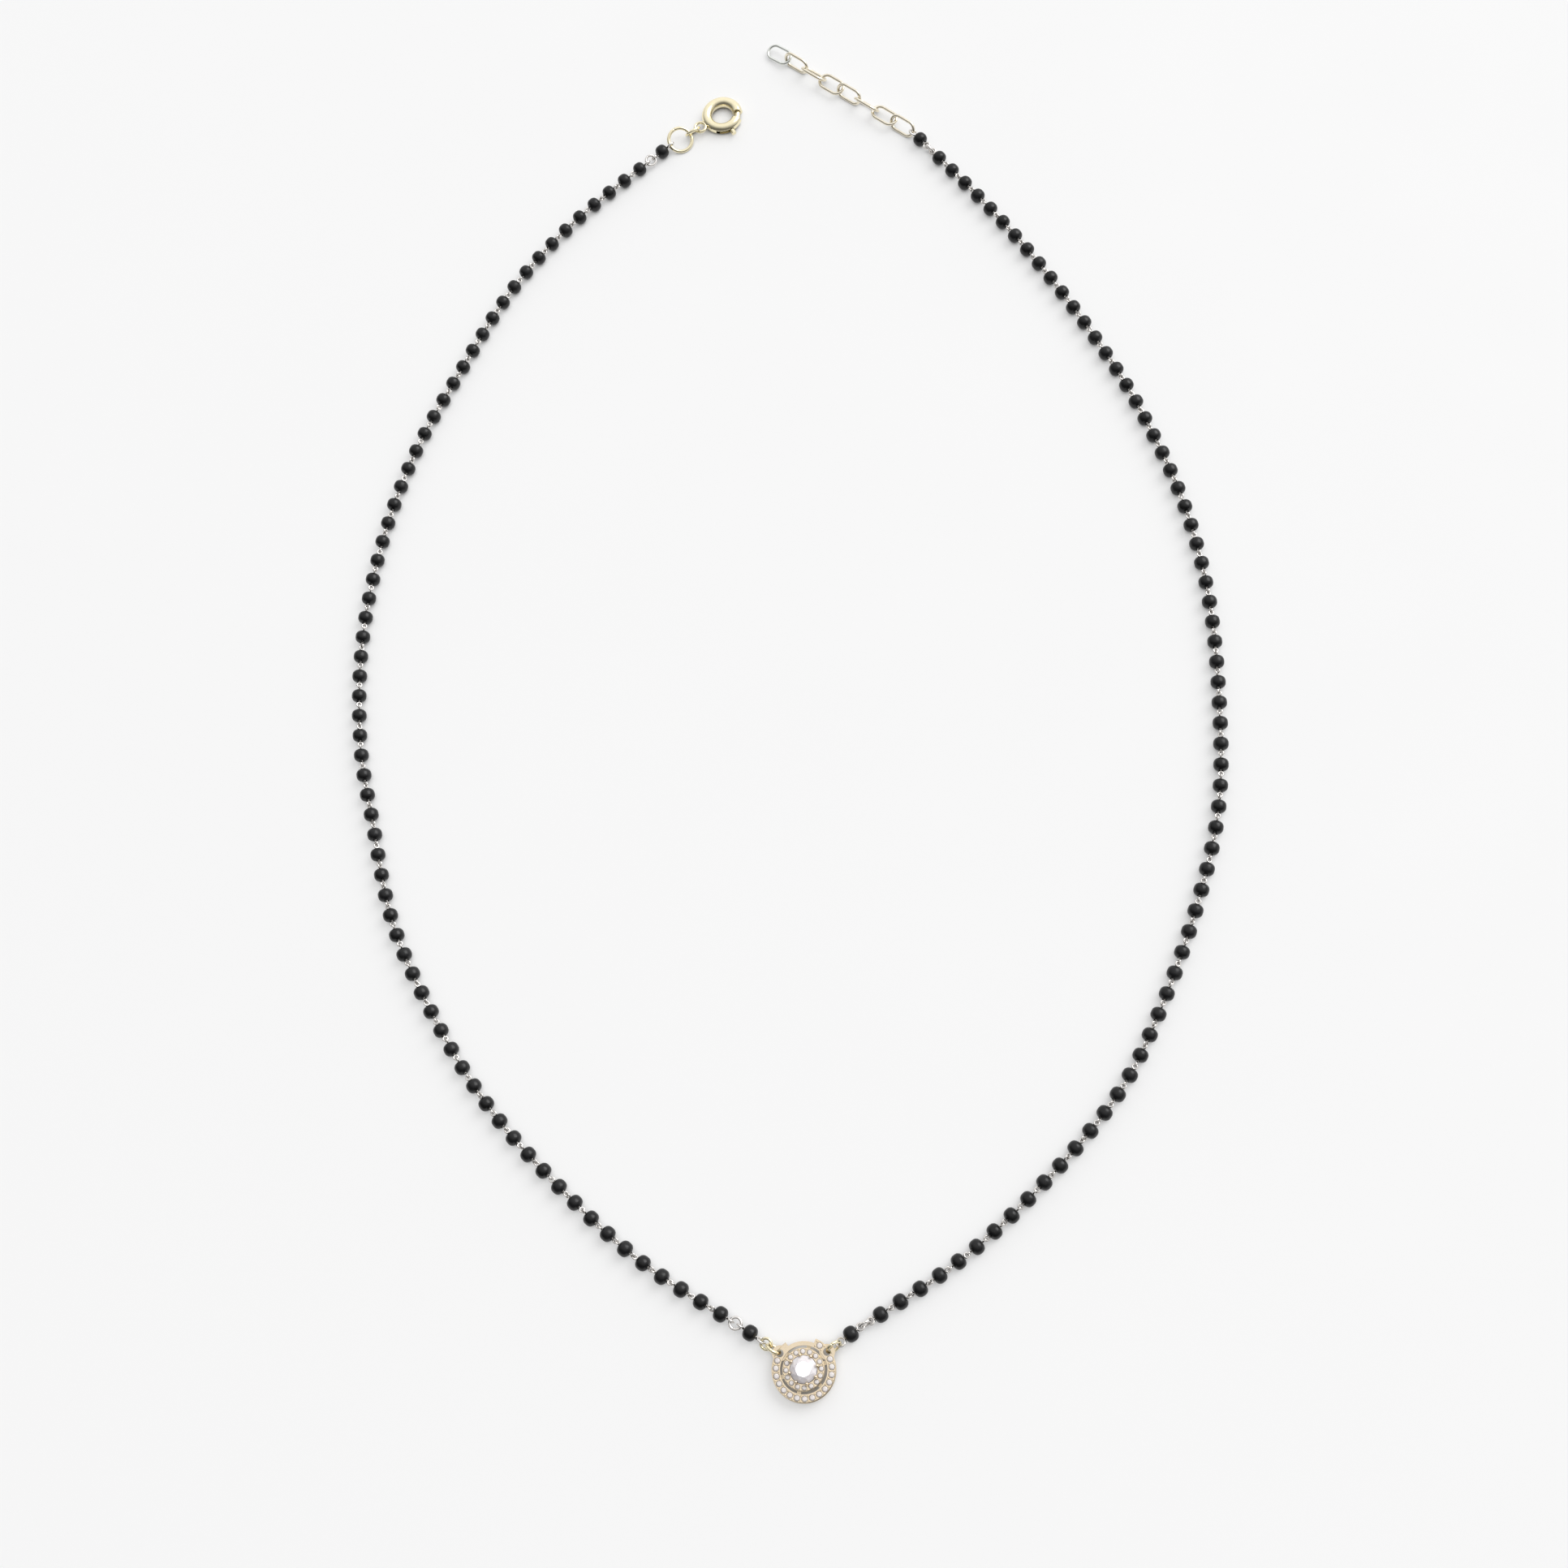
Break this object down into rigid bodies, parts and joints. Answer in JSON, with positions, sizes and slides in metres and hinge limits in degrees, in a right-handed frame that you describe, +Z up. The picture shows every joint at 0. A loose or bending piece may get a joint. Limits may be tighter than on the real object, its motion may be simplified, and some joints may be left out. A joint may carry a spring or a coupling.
{
  "type": "black-bead necklace",
  "caption": "Necklace of small black beads on fine wire links with a round double-halo stone pendant, a spring-ring clasp and an oval-link extender, lying open",
  "frame": {"origin": "on the table under the middle of the necklace's outline as it lies", "axes": "+Y from the pendant towards the clasp, +X to the wearer's left as the face looks up, +Z up off the table"},
  "size_m": [0.1165, 0.1933, 0.0026],
  "materials": {
    "black_glass": "polished, opaque black",
    "grey_metal": "polished fine wire",
    "pale_gold": "polished pale gold plating",
    "pale_metal": "polished, champagne grey",
    "clear_stone": "polished brilliant cut",
    "blush_stone": "polished small stones"
  },
  "bodies": {
    "necklace": {"left_beads": "black_glass", "right_beads": "black_glass", "left_wire": "grey_metal", "right_wire": "grey_metal", "left_front_pin": "grey_metal", "right_front_pin": "grey_metal", "left_back_pin": "grey_metal", "right_back_pin": "grey_metal", "left_front_ring": "grey_metal", "right_front_ring": "grey_metal", "left_back_ring": "grey_metal", "right_back_ring": "grey_metal", "pendant_setting": "pale_gold", "centre_stone": "clear_stone", "inner_halo_stones": "blush_stone", "outer_halo_stones": "blush_stone", "left_pendant_ring": "pale_gold", "left_second_ring": "pale_gold", "right_pendant_ring": "pale_gold", "clasp_body": "pale_gold", "clasp_small_ring": "pale_gold", "clasp_jump_ring": "pale_gold", "extender_link_1": "pale_metal", "extender_link_2": "pale_metal", "extender_link_3": "pale_metal", "extender_link_4": "pale_metal", "extender_link_5": "pale_metal", "extender_link_6": "pale_metal", "extender_link_7": "pale_metal", "extender_link_8": "pale_metal"},
    "bolt": {"clasp_bolt": "pale_gold"}
  },
  "joints": [
    {"name": "clasp_bolt", "type": "hinge", "parent": "necklace", "child": "bolt", "pos_m": [-0.00504, 0.08542, 0.00075], "axis": [0, 0, -1], "range_deg": [0, 38], "stiffness_Nm_per_rad": 0.002, "springref_deg": -17.19}
  ]
}
